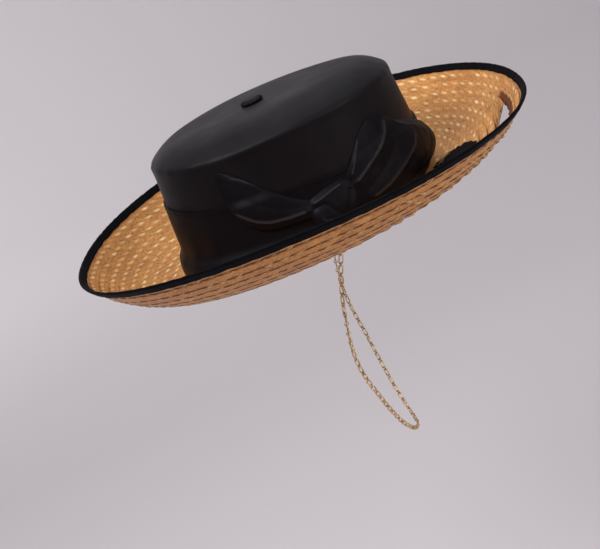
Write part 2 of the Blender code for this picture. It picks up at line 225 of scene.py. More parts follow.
def brimPoint(angle, share, lift=0.0):
    # top face of the brim: straight in plan from opening to rim, rising as share^bowlCurve
    # lift is measured along its normal
    form = hatForm
    innerX, innerY = oval(angle, form["headLength"], form["headWidth"], form["headCorner"])
    outerX, outerY = oval(angle, form["rimLength"], form["rimWidth"], form["rimCorner"])
    low = form["seatLift"] * np.cos(angle)
    high = (form["rimHeight"] + form["rimFrontLift"] * np.cos(angle)
            - form["rimSideLift"] * np.cos(2.0 * angle))
    runX, runY = outerX - innerX, outerY - innerY
    run = np.hypot(runX, runY)
    slope = (high - low) * form["bowlCurve"] * np.maximum(share, 1e-6) ** (form["bowlCurve"] - 1.0) / run
    length = np.sqrt(1.0 + slope ** 2)
    x = innerX + runX * share - lift * slope / length * runX / run
    y = innerY + runY * share - lift * slope / length * runY / run
    z = low + (high - low) * np.maximum(share, 1e-6) ** form["bowlCurve"] + lift / length
    return np.stack(np.broadcast_arrays(x, y, z), axis=-1)


slantShares = np.linspace(0.0, 1.0, 400)
slantPlaces = walkOf(brimPoint(0.5 * math.pi, slantShares))
slantEnd = slantPlaces[-1]


def brimPlace(angle, slant, lift=0.0):
    # the same face, told by the length walked up it from the head opening; past the rim it goes straight on
    share = np.interp(slant, slantPlaces, slantShares) + np.maximum(slant - slantEnd, 0.0) / slantEnd
    return brimPoint(angle, share - np.maximum(-slant, 0.0) / slantEnd, lift)


def footHeight(angle):
    # height of the crown's foot: the brim's top face where the foot stands, and the gap
    low = hatForm["seatLift"] * np.cos(angle)
    run = min(hatForm["rimLength"] - hatForm["headLength"], hatForm["rimWidth"] - hatForm["headWidth"])
    share = (hatForm["footLap"] + hatForm["footBack"]) / run
    return low + (hatForm["rimHeight"] - low) * share ** hatForm["bowlCurve"] + hatForm["gap"]


def footTuck(angle, share):
    # how far the foot is drawn in: full between 45 degrees right and 8 degrees left of the front
    turned = np.degrees((angle + math.pi) % fullTurn - math.pi)
    window = smoothStep(turned, -80.0, -45.0) * (1.0 - smoothStep(turned, 8.0, 30.0))
    return hatForm["footTuck"] * window * (1.0 - smoothStep(share, 0.0, hatForm["tuckHeight"]))


def frontRise(angle, share):
    # how far the top is pushed up: full at riseTurn right of the front, none behind the middle
    ahead = share * np.cos(angle + math.radians(hatForm["riseTurn"]))
    return hatForm["frontRise"] * smoothStep(ahead, 0.05, 0.95)


def crownSide(angle, share, lift=0.0):
    # an oval that shrinks in a straight line from foot to top edge; the front rise pushes its upper half up
    shrink = lift - hatForm["crownDrawIn"] * share - footTuck(angle, share)
    x, y = oval(angle, foot["length"] + shrink, foot["width"] + shrink, hatForm["crownCorner"])
    x = x - hatForm["footBack"] - (hatForm["topBack"] - hatForm["footBack"]) * share
    z = footHeight(angle) + (hatForm["crownHeight"] - footHeight(angle)) * share
    z = z + frontRise(angle, 1.0) * smoothStep(share, 0.5, 1.0)
    return np.stack(np.broadcast_arrays(x, y, z), axis=-1)


def crownTop(angle, share, lift=0.0):
    # flat in the middle, falling to the edge as share^shoulderCurve, and pushed up by the front rise
    length = foot["length"] - hatForm["crownDrawIn"]
    width = foot["width"] - hatForm["crownDrawIn"]
    x, y = oval(angle, (length + lift) * share, (width + lift) * share, hatForm["crownCorner"])
    fall = 1.0 - share ** hatForm["shoulderCurve"]
    z = hatForm["crownHeight"] + lift * (1.0 - share ** 3) + frontRise(angle, share)
    z = z + fall * (hatForm["shoulderRise"] + hatForm["topLean"] * x / length)
    return np.stack(np.broadcast_arrays(x - hatForm["topBack"], y, z), axis=-1)


# Material helpers


def newMaterial(name, **settings):
    # settings are plain numbers for the shader's own sockets
    material = bpy.data.materials.new(name)
    material.use_nodes = True
    shader = material.node_tree.nodes["Principled BSDF"]
    for key, value in settings.items():
        shader.inputs[key.replace("_", " ")].default_value = value
    return material, material.node_tree, shader


def addNode(tree, kind, sockets=None, **settings):
    # a socket gets a plain value, or a link where the value is another node's output
    made = tree.nodes.new(kind)
    for key, value in settings.items():
        setattr(made, key, value)
    for key, value in (sockets or {}).items():
        if isinstance(value, bpy.types.NodeSocket):
            tree.links.new(value, made.inputs[key])
        else:
            made.inputs[key].default_value = value
    return made


def mathOf(tree, operation, first, second=0.0, clamp=False):
    made = addNode(tree, "ShaderNodeMath", {0: first, 1: second}, operation=operation)
    made.use_clamp = clamp
    return made.outputs[0]


def mixOf(tree, factor, first, second, blend="MIX"):
    made = tree.nodes.new("ShaderNodeMix")
    made.data_type = "RGBA"
    made.blend_type = blend
    for index, value in ((0, factor), (6, first), (7, second)):
        if isinstance(value, bpy.types.NodeSocket):
            tree.links.new(value, made.inputs[index])
        else:
            made.inputs[index].default_value = (*value, 1.0) if isinstance(value, tuple) else value
    return made.outputs[2]


def rampOf(tree, factor, stops):
    made = addNode(tree, "ShaderNodeValToRGB", {"Fac": factor})
    elements = made.color_ramp.elements
    while len(elements) < len(stops):
        elements.new(0.5)
    for element, (place, value) in zip(elements, stops):
        element.position = place
        element.color = (*value, 1.0) if isinstance(value, tuple) else (value, value, value, 1.0)
    return made.outputs["Color"]


def stretchedNoise(tree, vector, scale, detail=4.0, roughness=0.55, size=1.0):
    mapped = addNode(tree, "ShaderNodeMapping", {"Vector": vector, "Scale": scale})
    made = addNode(tree, "ShaderNodeTexNoise", {"Vector": mapped.outputs[0], "Scale": size,
                                                "Detail": detail, "Roughness": roughness})
    return made.outputs[0]


def addBump(tree, shader, height, strength, distance, below=None):
    sockets = {"Height": height, "Strength": strength, "Distance": distance}
    if below is not None:
        sockets["Normal"] = below
    made = addNode(tree, "ShaderNodeBump", sockets)
    tree.links.new(made.outputs[0], shader.inputs["Normal"])
    return made.outputs[0]


def strawMaterial():
    # flattened straw: long streaks, a tint for each splint, painted shade along edges, under crossings and in
    # the tear's recess, painted highlights on raised dots and fold corners
    material, tree, shader = newMaterial("straw", Specular_IOR_Level=0.30)
    lay = addNode(tree, "ShaderNodeUVMap", uv_map="lay").outputs[0]
    across = addNode(tree, "ShaderNodeSeparateXYZ", {0: lay}).outputs[1]
    streaks = stretchedNoise(tree, lay, (1.1, 9.0, 1.0), 5.0, 0.66)
    place = addNode(tree, "ShaderNodeTexCoord").outputs["Object"]
    patches = addNode(tree, "ShaderNodeTexNoise", {"Vector": place, "Scale": 48.0, "Detail": 4.0}).outputs[0]
    flecks = addNode(tree, "ShaderNodeTexNoise", {"Vector": place, "Scale": 620.0, "Detail": 2.0}).outputs[0]
    tint, under, crest, seam, stain = [
        addNode(tree, "ShaderNodeAttribute", attribute_name=key).outputs["Fac"]
        for key in ("tint", "under", "crest", "seam", "stain")]
    golden = rampOf(tree, streaks, [(0.28, (0.43, 0.165, 0.036)), (0.44, (0.61, 0.260, 0.066)),
                                    (0.58, (0.72, 0.330, 0.094)), (0.74, (0.85, 0.46, 0.165))])
    tones = rampOf(tree, tint, [(0.0, (0.80, 0.75, 0.70)), (0.35, (0.95, 0.94, 0.92)),
                                (0.75, (1.05, 1.04, 1.0)), (1.0, (1.14, 1.16, 1.2))])
    toned = mixOf(tree, 1.0, golden, tones, "MULTIPLY")
    aged = mixOf(tree, mathOf(tree, "MULTIPLY", rampOf(tree, patches, [(0.40, 0.0), (0.68, 1.0)]), 0.46),
                 toned, (0.44, 0.17, 0.055))
    fleck = mixOf(tree, mathOf(tree, "MULTIPLY", rampOf(tree, flecks, [(0.53, 0.0), (0.66, 1.0)]), 0.62),
                  aged, (0.22, 0.075, 0.022))
    # painted highlight: a pale mix on raised dots, lifted fold corners and straw tips
    pale = mixOf(tree, mathOf(tree, "MULTIPLY", crest, 0.72, clamp=True), fleck, (1.0, 0.76, 0.38))
    # painted shade: near-black along each splint's long edges, and along the rows' edges where the laps throw
    # shadow
    middle = mathOf(tree, "ABSOLUTE", mathOf(tree, "SUBTRACT", across, 0.5))
    edge = mathOf(tree, "MAXIMUM", rampOf(tree, middle, [(0.42, 0.0), (0.5, 0.05)]),
                  mathOf(tree, "MULTIPLY", seam, 0.92, clamp=True))
    edgeShaded = mixOf(tree, edge, pale, (0.085, 0.024, 0.006))
    # painted shade where a splint dips under its neighbour
    underShaded = mixOf(tree, mathOf(tree, "MULTIPLY", under, 0.26, clamp=True), edgeShaded, (0.13, 0.048, 0.012))
    # darkening at the tear: painted shade in the recess beyond it, and the rows before it darker towards it
    tearDarkened = mixOf(tree, mathOf(tree, "MULTIPLY", stain, 0.92, clamp=True), underShaded, (0.10, 0.022, 0.005))
    tree.links.new(tearDarkened, shader.inputs["Base Color"])
    dull = mathOf(tree, "MAXIMUM", stain, seam)
    tree.links.new(rampOf(tree, dull, [(0.0, 0.40), (1.0, 0.9)]), shader.inputs["Roughness"])
    addBump(tree, shader, streaks, 0.9, 0.0003)
    return material


def clothMaterial(name, dark, light, roughness, gloss, threads, rise):
    # plain weave: two sets of fine waves on the piece's own layout, a soft mottle, a few pale specks, and a
    # painted sheen along fold ridges where the piece carries one
    material, tree, shader = newMaterial(name, Specular_IOR_Level=gloss)
    lay = addNode(tree, "ShaderNodeUVMap", uv_map="lay").outputs[0]
    place = addNode(tree, "ShaderNodeTexCoord").outputs["Object"]
    mottle = addNode(tree, "ShaderNodeTexNoise", {"Vector": place, "Scale": 34.0, "Detail": 7.0,
                                                  "Roughness": 0.62}).outputs[0]
    cloth = rampOf(tree, mottle, [(0.3, dark), (0.72, light)])
    cells = addNode(tree, "ShaderNodeTexVoronoi", {"Vector": place, "Scale": 90.0})
    rare = rampOf(tree, addNode(tree, "ShaderNodeSeparateXYZ", {0: cells.outputs["Color"]}).outputs[0],
                  [(0.965, 0.0), (0.97, 1.0)])
    near = rampOf(tree, cells.outputs["Distance"], [(0.035, 1.0), (0.06, 0.0)])
    speck = mathOf(tree, "MULTIPLY", rare, near)
    # painted sheen: paler along the drapes' fold ridges
    ridge = addNode(tree, "ShaderNodeAttribute", attribute_name="wearAndSheen").outputs["Fac"]
    sheened = mixOf(tree, mathOf(tree, "MULTIPLY", ridge, 0.75, clamp=True), cloth, (0.034, 0.032, 0.038))
    tree.links.new(mixOf(tree, mathOf(tree, "MULTIPLY", speck, 0.5), sheened, (0.30, 0.28, 0.29)),
                   shader.inputs["Base Color"])
    wearAndSheen = rampOf(tree, mottle, [(0.30, roughness + 0.06), (0.70, roughness - 0.05)])
    tree.links.new(wearAndSheen, shader.inputs["Roughness"])
    wave = {"Vector": lay, "Scale": threads, "Distortion": 0.6, "Detail": 1.0}
    warp, weft = [addNode(tree, "ShaderNodeTexWave", wave, bands_direction=way) for way in "XY"]
    crossed = mathOf(tree, "MULTIPLY", warp.outputs["Fac"], weft.outputs["Fac"])
    weave = addBump(tree, shader, crossed, 0.30, 0.00010)
    addBump(tree, shader, mottle, rise, 0.0012, weave)
    return material


def goldMaterial():
    # worn gilt: brass with darker, rougher tarnish in patches
    material, tree, shader = newMaterial("gold", Metallic=1.0)
    place = addNode(tree, "ShaderNodeTexCoord").outputs["Object"]
    tarnish = addNode(tree, "ShaderNodeTexNoise", {"Vector": place, "Scale": 420.0, "Detail": 5.0}).outputs[0]
    tree.links.new(rampOf(tree, tarnish, [(0.35, (0.38, 0.22, 0.085)), (0.52, (0.76, 0.52, 0.26)),
                                          (0.70, (0.92, 0.73, 0.44))]), shader.inputs["Base Color"])
    tree.links.new(rampOf(tree, tarnish, [(0.35, 0.52), (0.65, 0.27)]), shader.inputs["Roughness"])
    addBump(tree, shader, tarnish, 0.25, 0.0002)
    return material


straw = strawMaterial()
crownCloth = clothMaterial("crownCloth", dark=(0.0030, 0.0022, 0.0032), light=(0.0068, 0.0054, 0.0070),
                           roughness=0.42, gloss=0.13, threads=9.0, rise=0.25)
bowCloth = clothMaterial("bowCloth", dark=(0.0020, 0.0016, 0.0028), light=(0.0046, 0.0039, 0.0060),
                         roughness=0.42, gloss=0.075, threads=9.0, rise=0.22)
ribbonCloth = clothMaterial("ribbonCloth", dark=(0.0010, 0.0010, 0.0020), light=(0.0030, 0.0028, 0.0050),
                            roughness=0.66, gloss=0.05, threads=6.0, rise=0.15)
gold = goldMaterial()
print("materials made")

# Straw brim

plait = {
    "firstRow": 0.0043,     # slant of the first row's middle
    "lastBack": 0.0030,     # the last row's middle lies this far from the rim
    "rowPitch": 0.0087,
    "bandHalf": 0.0053,     # half the width of one row of plait
    "period": 0.0109,       # distance between folds along one edge
    "splintShare": 1.08,    # a splint's width as a share of the room it has
    "over": 0.00008,        # how far a splint rises and dips as it crosses
    "belly": 0.00006,       # how far a splint's middle stands proud of its edges
    "edgeWall": 0.00007,
    "tilt": 0.00070,        # a row's edge towards the rim lies this far in, its edge towards the crown out
    "middle": -0.0009,      # lift of the plait's middle from the brim's top face
    "scallop": 0.10,        # share of a fold's corner that is rounded away
    "tooth": 0.00055,       # how far one corner of each fold sticks out past the row's edge
    "flare": 0.00090,       # and away from its face
    "calm": 0.40,           # share of both that shows on the inner face
    "dots": 0.00034,        # the inner face's hump on each splint that passes over
    "dotPlace": 0.40,       # along the splint, where 1 is its end
    "dotLength": 0.26,
    "dotWidth": 0.58,       # where 1 is the splint's edge
    "overRim": 0.0003,      # no straw goes further than this past the rim
    "flatFoot": 0.0105,     # under the crown the plait is pressed flat up to this slant
    "flatRim": 0.0060,      # and under the ribbon from this far inside the rim
    "flatFade": 0.003,
    "pressed": 0.30,
    "placeSpread": 0.00022,     # random spreads: a splint's place, its slope, width, middle and corner
    "slopeSpread": 0.00014,
    "widthSpread": 0.02,
    "bellySpread": 0.2,
    "cornerSpread": 0.45,
    "stations": 11,
    "seed": 7,
}
tear = {
    "from": 7.0,            # degrees from the front, towards the wearer's left
    "to": -31.0,
    "openFrom": -5.0,       # the straw is parted only between these two
    "openTo": -30.0,
    "place": 0.785,         # share of the way from the opening to the rim
    "outwards": -0.0020,    # how far the rows beyond it move out; here they come in
    "inwards": 0.0112,      # how far the rows before it move in
    "fade": 0.48,           # each row further off moves this share of the one before
    "gape": 0.0030,         # how far the free edge stands up from the brim there
    "sunk": 0.0008,         # how far the row beyond it lies back
    "shadeTo": -20.0,       # that row gets painted shade in its recess from the start to here
    "rowDarkening": 0.30,       # and the two rows before it are darkened this much towards the tear
}


def tearShare(angle, start, end):
    # 0 at the start and 1 at the end, both in degrees, held there outside them
    turned = (angle + math.pi) % fullTurn - math.pi
    return np.clip((math.radians(start) - turned) / math.radians(start - end), 0.0, 1.0)


def tearBulge(angle, start, end):
    # sine bulge between the two ends
    return np.sin(math.pi * tearShare(angle, start, end)) ** 0.8


def splintSection():
    # lens: six points over the top from edge to edge, four back underneath
    over = np.linspace(-1.0, 1.0, 6)
    under = np.linspace(0.6, -0.6, 4)
    across = np.concatenate([over, under])
    rise = np.concatenate([1.0 - over ** 2, -(1.0 - under ** 2)])
    wall = np.concatenate([np.ones(6), -np.ones(4)])
    return across, rise, wall


def plaitRow(slant, rowsFromTear, random):
    # one row: splints that run from edge to edge both ways
    # each dips under one neighbour and over the next as the sine of the way along it
    around = np.linspace(0.0, fullTurn, 1441)
    walked = walkOf(brimPlace(around, slant))
    count = max(8, round(walked[-1] / plait["period"]))
    period = walked[-1] / count
    across, rise, wall = splintSection()
    progress = np.linspace(-1.0, 1.0, plait["stations"])
    heading = np.repeat([1.0, -1.0], count)[:, None, None]
    start = np.concatenate([np.arange(count) + 0.75, np.arange(count) + 0.25]) * period

    def spread(middle, reach):
        return random.normal(middle, reach, 2 * count)[:, None, None]

    start = (start + random.uniform(0.0, period))[:, None, None] + spread(0.0, plait["placeSpread"])
    skew = spread(0.0, plait["slopeSpread"])
    width = spread(plait["splintShare"], plait["widthSpread"])
    puff = spread(1.0, plait["bellySpread"])
    lifted = spread(1.0, plait["cornerSpread"])
    u = progress[None, :, None]
    v = across[None, None, :]
    along = start + 0.75 * period * u + 0.5 * period * width * v
    end = np.abs(u) ** 6
    outer = np.sign(heading * u)
    angle = np.interp(along % walked[-1], walked, around)
    frayed = lifted * np.where(outer < 0.0, 0.3 + 0.7 * smoothStep(np.cos(angle), -0.1, 0.7), plait["calm"])
    sideways = heading * plait["bandHalf"] * u * (1.0 - plait["scallop"] * v ** 2 * end)
    sideways = sideways + skew * v + plait["tooth"] * frayed * v * end * outer
    wave = np.sin(math.pi * np.clip(u + v / 3.0, -1.0, 1.0))
    closing = 1.0 - 0.55 * smoothStep(np.abs(u), 0.80, 1.0)
    pressed = plait["pressed"] + (1.0 - plait["pressed"]) * (
        smoothStep(slant, plait["flatFoot"] - plait["flatFade"], plait["flatFoot"] + plait["flatFade"])
        * (1.0 - smoothStep(slant - slantEnd + plait["flatRim"], 0.0, plait["flatFade"])))
    hump = np.exp(-((u - plait["dotPlace"]) / plait["dotLength"]) ** 2 - (v / plait["dotWidth"]) ** 2)
    hump = hump * (heading > 0.0) * (wall > 0.0)
    lift = plait["over"] * wave * closing * (0.6 + 0.4 * pressed) + plait["dots"] * hump * pressed
    lift = lift + plait["belly"] * puff * rise * (1.0 - 0.4 * end) + 0.5 * plait["edgeWall"] * wall
    lift = lift + pressed * (plait["tilt"] * sideways / plait["bandHalf"]
                             + plait["flare"] * frayed * v * end * outer) + plait["middle"]
    parted = tearBulge(angle, tear["openFrom"], tear["openTo"])
    if rowsFromTear >= 0:
        shift = tear["outwards"] * parted * tear["fade"] ** rowsFromTear
        lift = lift - tear["sunk"] * tearBulge(angle, tear["from"], tear["to"]) * (rowsFromTear == 0)
    else:
        free = smoothStep(sideways, -plait["bandHalf"], plait["bandHalf"])
        shift = -tear["inwards"] * parted * tear["fade"] ** (-rowsFromTear - 1)
        lift = lift + tear["gape"] * free * tearBulge(angle, tear["from"], tear["to"]) * (rowsFromTear == -1)
        lift = lift + 0.5 * tear["gape"] * parted * (rowsFromTear == -1)
    points = brimPlace(angle, np.minimum(slant + sideways + shift, slantEnd + plait["overRim"]), lift)
    # the row beyond the tear gets painted shade in its recess; the two rows before it are darkened towards
    # the tear
    darkened = (rowsFromTear == 0) * smoothStep(tearBulge(angle, tear["from"], tear["shadeTo"]), 0.1, 0.4)
    darkened = darkened * (1.0 - smoothStep(sideways / plait["bandHalf"], 0.3, 0.7))
    if rowsFromTear in (-1, -2):
        darkened = tear["rowDarkening"] * smoothStep(sideways / plait["bandHalf"], -0.6, 0.9)
        darkened = darkened * tearBulge(angle, tear["from"], tear["to"])
    # painted shade along each row's edges, under the laps, less where a corner is lifted
    inEdge = smoothStep(-outer * np.abs(u), 0.55, 0.80) * (1.0 - 0.8 * smoothStep(v * lifted, 0.4, 0.9))
    outEdge = smoothStep(outer * np.abs(u), 0.20, 0.52)
    flat = 0.0 * along
    values = {
        "tint": np.clip(random.normal(0.5, 0.2, 2 * count), 0.0, 1.0)[:, None, None] + flat,
        # painted shade where a splint dips under its neighbour
        "under": smoothStep(-wave * wall, 0.15, 0.95) * smoothStep(np.abs(u), -0.2, 0.6) + flat,
        # painted highlight on the lifted fold corners and on the raised dots
        "crest": 0.8 * end * smoothStep(v * lifted, 0.2, 1.0)
                 + lifted * smoothStep(hump, 0.24, 0.92) + flat,
        # painted shade along the rows' edges
        "seam": np.maximum(inEdge * np.where(wall < 0.0, 1.0, 0.55), outEdge * (wall < 0.0)) + flat,
        "stain": darkened + flat,
    }
    strawRun = 100.0 * (0.75 * period * u) + 37.0 * values["tint"] + 5.0 * start * 100.0
    uv = uvOf(strawRun, 0.5 + 0.5 * v)
    flip = heading[:, 0, 0] < 0.0
    for array in (points, uv, *values.values()):
        array[flip] = array[flip][:, :, ::-1]
    return points, uv, values


def splintsMesh(name, rows):
    # every splint is a closed lens with a flat end at both folds
    points, uv = [np.concatenate([row[part] for row in rows]) for part in (0, 1)]
    values = {key: np.concatenate([row[2][key] for row in rows]) for key in rows[0][2]}
    count, stations, section = points.shape[:3]
    base = np.arange(count)[:, None] * stations * section
    quads = tubeQuads(stations, section, first=base[..., None, None])
    ring = np.arange(section)
    ends = np.concatenate([base + ring[::-1], base + (stations - 1) * section + ring])
    flatUv = uv.reshape(-1, 2)
    return buildMesh(name, points.reshape(-1, 3), [quads, ends], [flatUv[quads], flatUv[ends]], values)


def makeBrim():
    # rows of plait at even slants from the head opening to the rim, in four pieces
    random = np.random.default_rng(plait["seed"])
    last = slantEnd - plait["lastBack"]
    count = 1 + round((last - plait["firstRow"]) / plait["rowPitch"])
    middles = np.linspace(plait["firstRow"], last, count)
    tearSlant = np.interp(tear["place"], slantShares, slantPlaces)
    above = int(np.argmin(np.abs(middles - 0.5 * plait["rowPitch"] - tearSlant)))
    rows = [plaitRow(slant, index - above, random) for index, slant in enumerate(middles)]
    print(f"{count} rows of plait, {1000 * (middles[1] - middles[0]):.1f} mm apart, torn below row {above}")
    groups = (("brim_plait_foot", 0, 3), ("brim_plait_floor", 3, 6), ("brim_plait_side", 6, 9),
              ("brim_plait_rim", 9, count))
    for name, first, after in groups:
        addPiece(name, splintsMesh(name, rows[first:after]), straw, ["brim"], 60.0)


makeBrim()

strawEnds = {
    # where broken ends stand up, from and to an angle in degrees: between two shares of the way out,
    # or along a path of shares of those angles and shares of the way out, which is the patch's upper edge
    "places": (
        {"from": 6.0, "to": -22.0, "band": (0.67, 0.775), "count": 84, "length": 0.0056, "stand": 0.70},
        {"from": -5.0, "to": -22.0, "count": 44, "length": 0.0052, "stand": 0.40,
         "path": ((0.0, 0.33), (0.12, 0.225), (0.29, 0.165), (0.59, 0.115), (1.0, 0.10))},
    ),
    "pathSpread": 0.006,
    "aslant": 0.35,         # random spreads of how far an end points along the row, and how far it stands up
    "standSpread": 0.2,
    "width": 0.00062,       # half the width of a sliver at its foot
    "wall": 0.00012,
    "seed": 17,
}


def makeStrawEnds():
    # tapered slivers: half width falls as (1 - s)^0.6 along them, and each bends a little away from the brim
    random = np.random.default_rng(strawEnds["seed"])
    rows = []
    for place in strawEnds["places"]:
        count = place["count"]
        share = (np.arange(count) + random.uniform(0.2, 0.8, count)) / count
        angle = np.radians(place["from"] + (place["to"] - place["from"]) * share)
        if "path" in place:
            out = np.interp(share, *np.array(place["path"]).T)
            out = out + random.normal(0.0, strawEnds["pathSpread"], count)
        else:
            out = random.uniform(*place["band"], count)
        lift = 0.0004 + tear["gape"] * smoothStep(out, 0.69, 0.77)
        root = brimPoint(angle, out, lift)
        alongAxis = unit(brimPoint(angle + 0.01, out, lift) - root)
        outAxis = unit(brimPoint(angle, out + 0.01, lift) - root)
        upAxis = np.cross(alongAxis, outAxis)
        upAxis = upAxis * np.sign(upAxis[:, 2])[:, None]
        aslant = random.normal(0.0, strawEnds["aslant"], count)[:, None]
        stand = (place["stand"] + random.normal(0.0, strawEnds["standSpread"], count))[:, None]
        ahead = unit(outAxis + alongAxis * aslant + upAxis * stand)
        side = unit(np.cross(ahead, upAxis))
        face = np.cross(side, ahead)
        length = place["length"] * random.uniform(0.6, 1.4, count)
        walked = np.linspace(0.0, 1.0, 6)
        taper = np.maximum(1.0 - walked, 0.08) ** 0.6
        bend = 0.25 * walked ** 2
        middle = (root[:, None, :] + ahead[:, None, :] * (length[:, None] * walked)[..., None]
                  + upAxis[:, None, :] * (length[:, None] * bend)[..., None])
        turn = ringAngles(6)
        sideReach = (strawEnds["width"] * taper)[None, :, None] * np.cos(turn)
        faceReach = (strawEnds["wall"] * taper)[None, :, None] * np.sin(turn)
        points = (middle[:, :, None, :] + sideReach[..., None] * side[:, None, None, :]
                  + faceReach[..., None] * face[:, None, None, :])
        flat = 0.0 * points[..., 0]
        # painted highlight on the straw ends, stronger towards each tip
        values = {"tint": random.uniform(0.3, 1.0, count)[:, None, None] + flat,
                  "under": flat, "crest": 0.25 + 0.45 * walked[None, :, None] + flat,
                  "seam": flat, "stain": flat}
        uv = uvOf(100.0 * length[:, None, None] * walked[None, :, None], 0.5 + 0.4 * np.cos(turn))
        rows.append((points, uv, values))
    return addPiece("brim_straw_ends", splintsMesh("brim_straw_ends", rows), straw, [])


makeStrawEnds()

patch = {
    "middle": (-21.0, 0.36),    # degrees from the front, share of the way out
    "outline": (                # corners of its edge, counted the same way
        (-36.0, 0.24), (-30.0, 0.13), (-24.0, 0.105), (-19.5, 0.105), (-16.0, 0.12), (-12.0, 0.17),
        (-9.0, 0.23), (-7.3, 0.30), (-7.0, 0.36), (-9.0, 0.42), (-13.0, 0.48), (-22.0, 0.53), (-31.0, 0.48),
    ),
    "scale": (0.0021, 0.080),   # metres for one degree and for one whole share, about
    "around": 180,
    "ragged": 0.05,
    "rumple": 0.0003,
    "lift": 0.0019,
    "wall": 0.0005,
}


def makePatch():
    # rings between the middle and a ragged edge; the edge is read round the outline's corners by their turn
    middle = np.array(patch["middle"])
    scale = patch["scale"]
    corners = (np.array(patch["outline"]) - middle) * scale
    turns = np.arctan2(corners[:, 1], corners[:, 0])
    order = np.argsort(turns)
    turn = ringAngles(patch["around"]) - math.pi
    reach = np.interp(turn, turns[order], np.hypot(*corners.T)[order], period=fullTurn)
    reach = reach * (1.0 + patch["ragged"] * waves(turn, 61, 8, 50))
    rings = []
    for share, lift in [(0.02, 1), (0.3, 1), (0.6, 1), (0.85, 1), (1.0, 1), (1.0, 0), (0.6, 0), (0.02, 0)]:
        angle = np.radians(middle[0] + np.cos(turn) * reach * share / scale[0])
        out = middle[1] + np.sin(turn) * reach * share / scale[1]
        rumple = patch["rumple"] * waves(turn, 62, 2, 7, share * 5.0, 1.0) * share
        rings.append(brimPoint(angle, out, patch["lift"] - patch["wall"] * (1 - lift) + rumple))
    uv = uvOf(np.linspace(0.0, 14.0, patch["around"] + 1), np.linspace(0.0, 6.0, len(rings))[:, None])
    mesh = gridMesh("brim_patch", np.stack(rings), uv=uv)
    return addPiece("brim_patch", mesh, ribbonCloth, [], 50.0)


makePatch()
print("brim plaited")

# Ribbon over the rim

binding = {
    "reach": 0.0051,        # how far it laps over the straw on both faces
    "wall": 0.00045,
    "straw": 0.0011,        # the plait is pressed this thin under it
    "gap": 0.0001,
    "out": 0.0008,          # its fold lies this far past the rim
    "ragged": 0.00026,      # how far its edges wander
    "hem": 0.0003,          # its edges lie this much closer to the straw
    "pucker": 0.00012,
    "around": 900,
}


def makeBinding():
    # U section in slant and lift: out along the top face, half circle round the rim, back along the underside
    angle = ringAngles(binding["around"])
    gap = binding["gap"]
    middle = -0.5 * hatForm["strawWall"]
    outerHalf = 0.5 * binding["straw"] + gap + binding["wall"]
    innerHalf = outerHalf - binding["wall"]
    upper = binding["reach"] + binding["ragged"] * waves(angle, 11, 20, 90)
    lower = binding["reach"] + binding["ragged"] * waves(angle, 12, 20, 90)
    run = np.linspace(1.0, 0.0, 9)
    bend = np.linspace(0.5 * math.pi, -0.5 * math.pi, 9)[1:-1]
    rimPlace = slantEnd + binding["out"]
    faces = outerHalf - binding["hem"] * smoothStep(run, 0.9, 1.0)
    sections = [(rimPlace - upper * share, middle + face) for share, face in zip(run, faces)]
    sections += [(rimPlace + outerHalf * math.cos(turn), middle + outerHalf * math.sin(turn))
                 for turn in bend]
    sections += [(rimPlace - lower * share, middle - face) for share, face in zip(run[::-1], faces[::-1])]
    sections += [(rimPlace - lower * share, middle - innerHalf) for share in (1.0, 0.5, 0.0)]
    sections += [(rimPlace - upper * share, middle + innerHalf) for share in (0.0, 0.5, 1.0)]
    grid = np.stack([brimPlace(angle, slant, lift) for slant, lift in sections], axis=1)
    grid[..., 2] += binding["pucker"] * waves(angle, 13, 30, 160)[:, None]
    uv = uvOf(np.linspace(0.0, 107.0, len(grid) + 1)[:, None], np.linspace(0.0, 3.6, len(sections) + 1))
    mesh = gridMesh("brim_binding_ribbon", grid, wrapRows=True, uv=uv)
    return addPiece("brim_binding_ribbon", mesh, ribbonCloth, ["brim_binding"], 50.0)


makeBinding()
print("rim bound")

# Crown and its button

crown = {
    "around": 320,
    "ridge": 0.0010,        # the cloth along the top edge stands this far proud
    "ridgeWidth": 0.0030,
    "smoothing": 26,        # times the rows round the top edge are averaged
    "smoothRows": (30, 86),
    "sag": 0.00035,         # soft unevenness of the cover
}


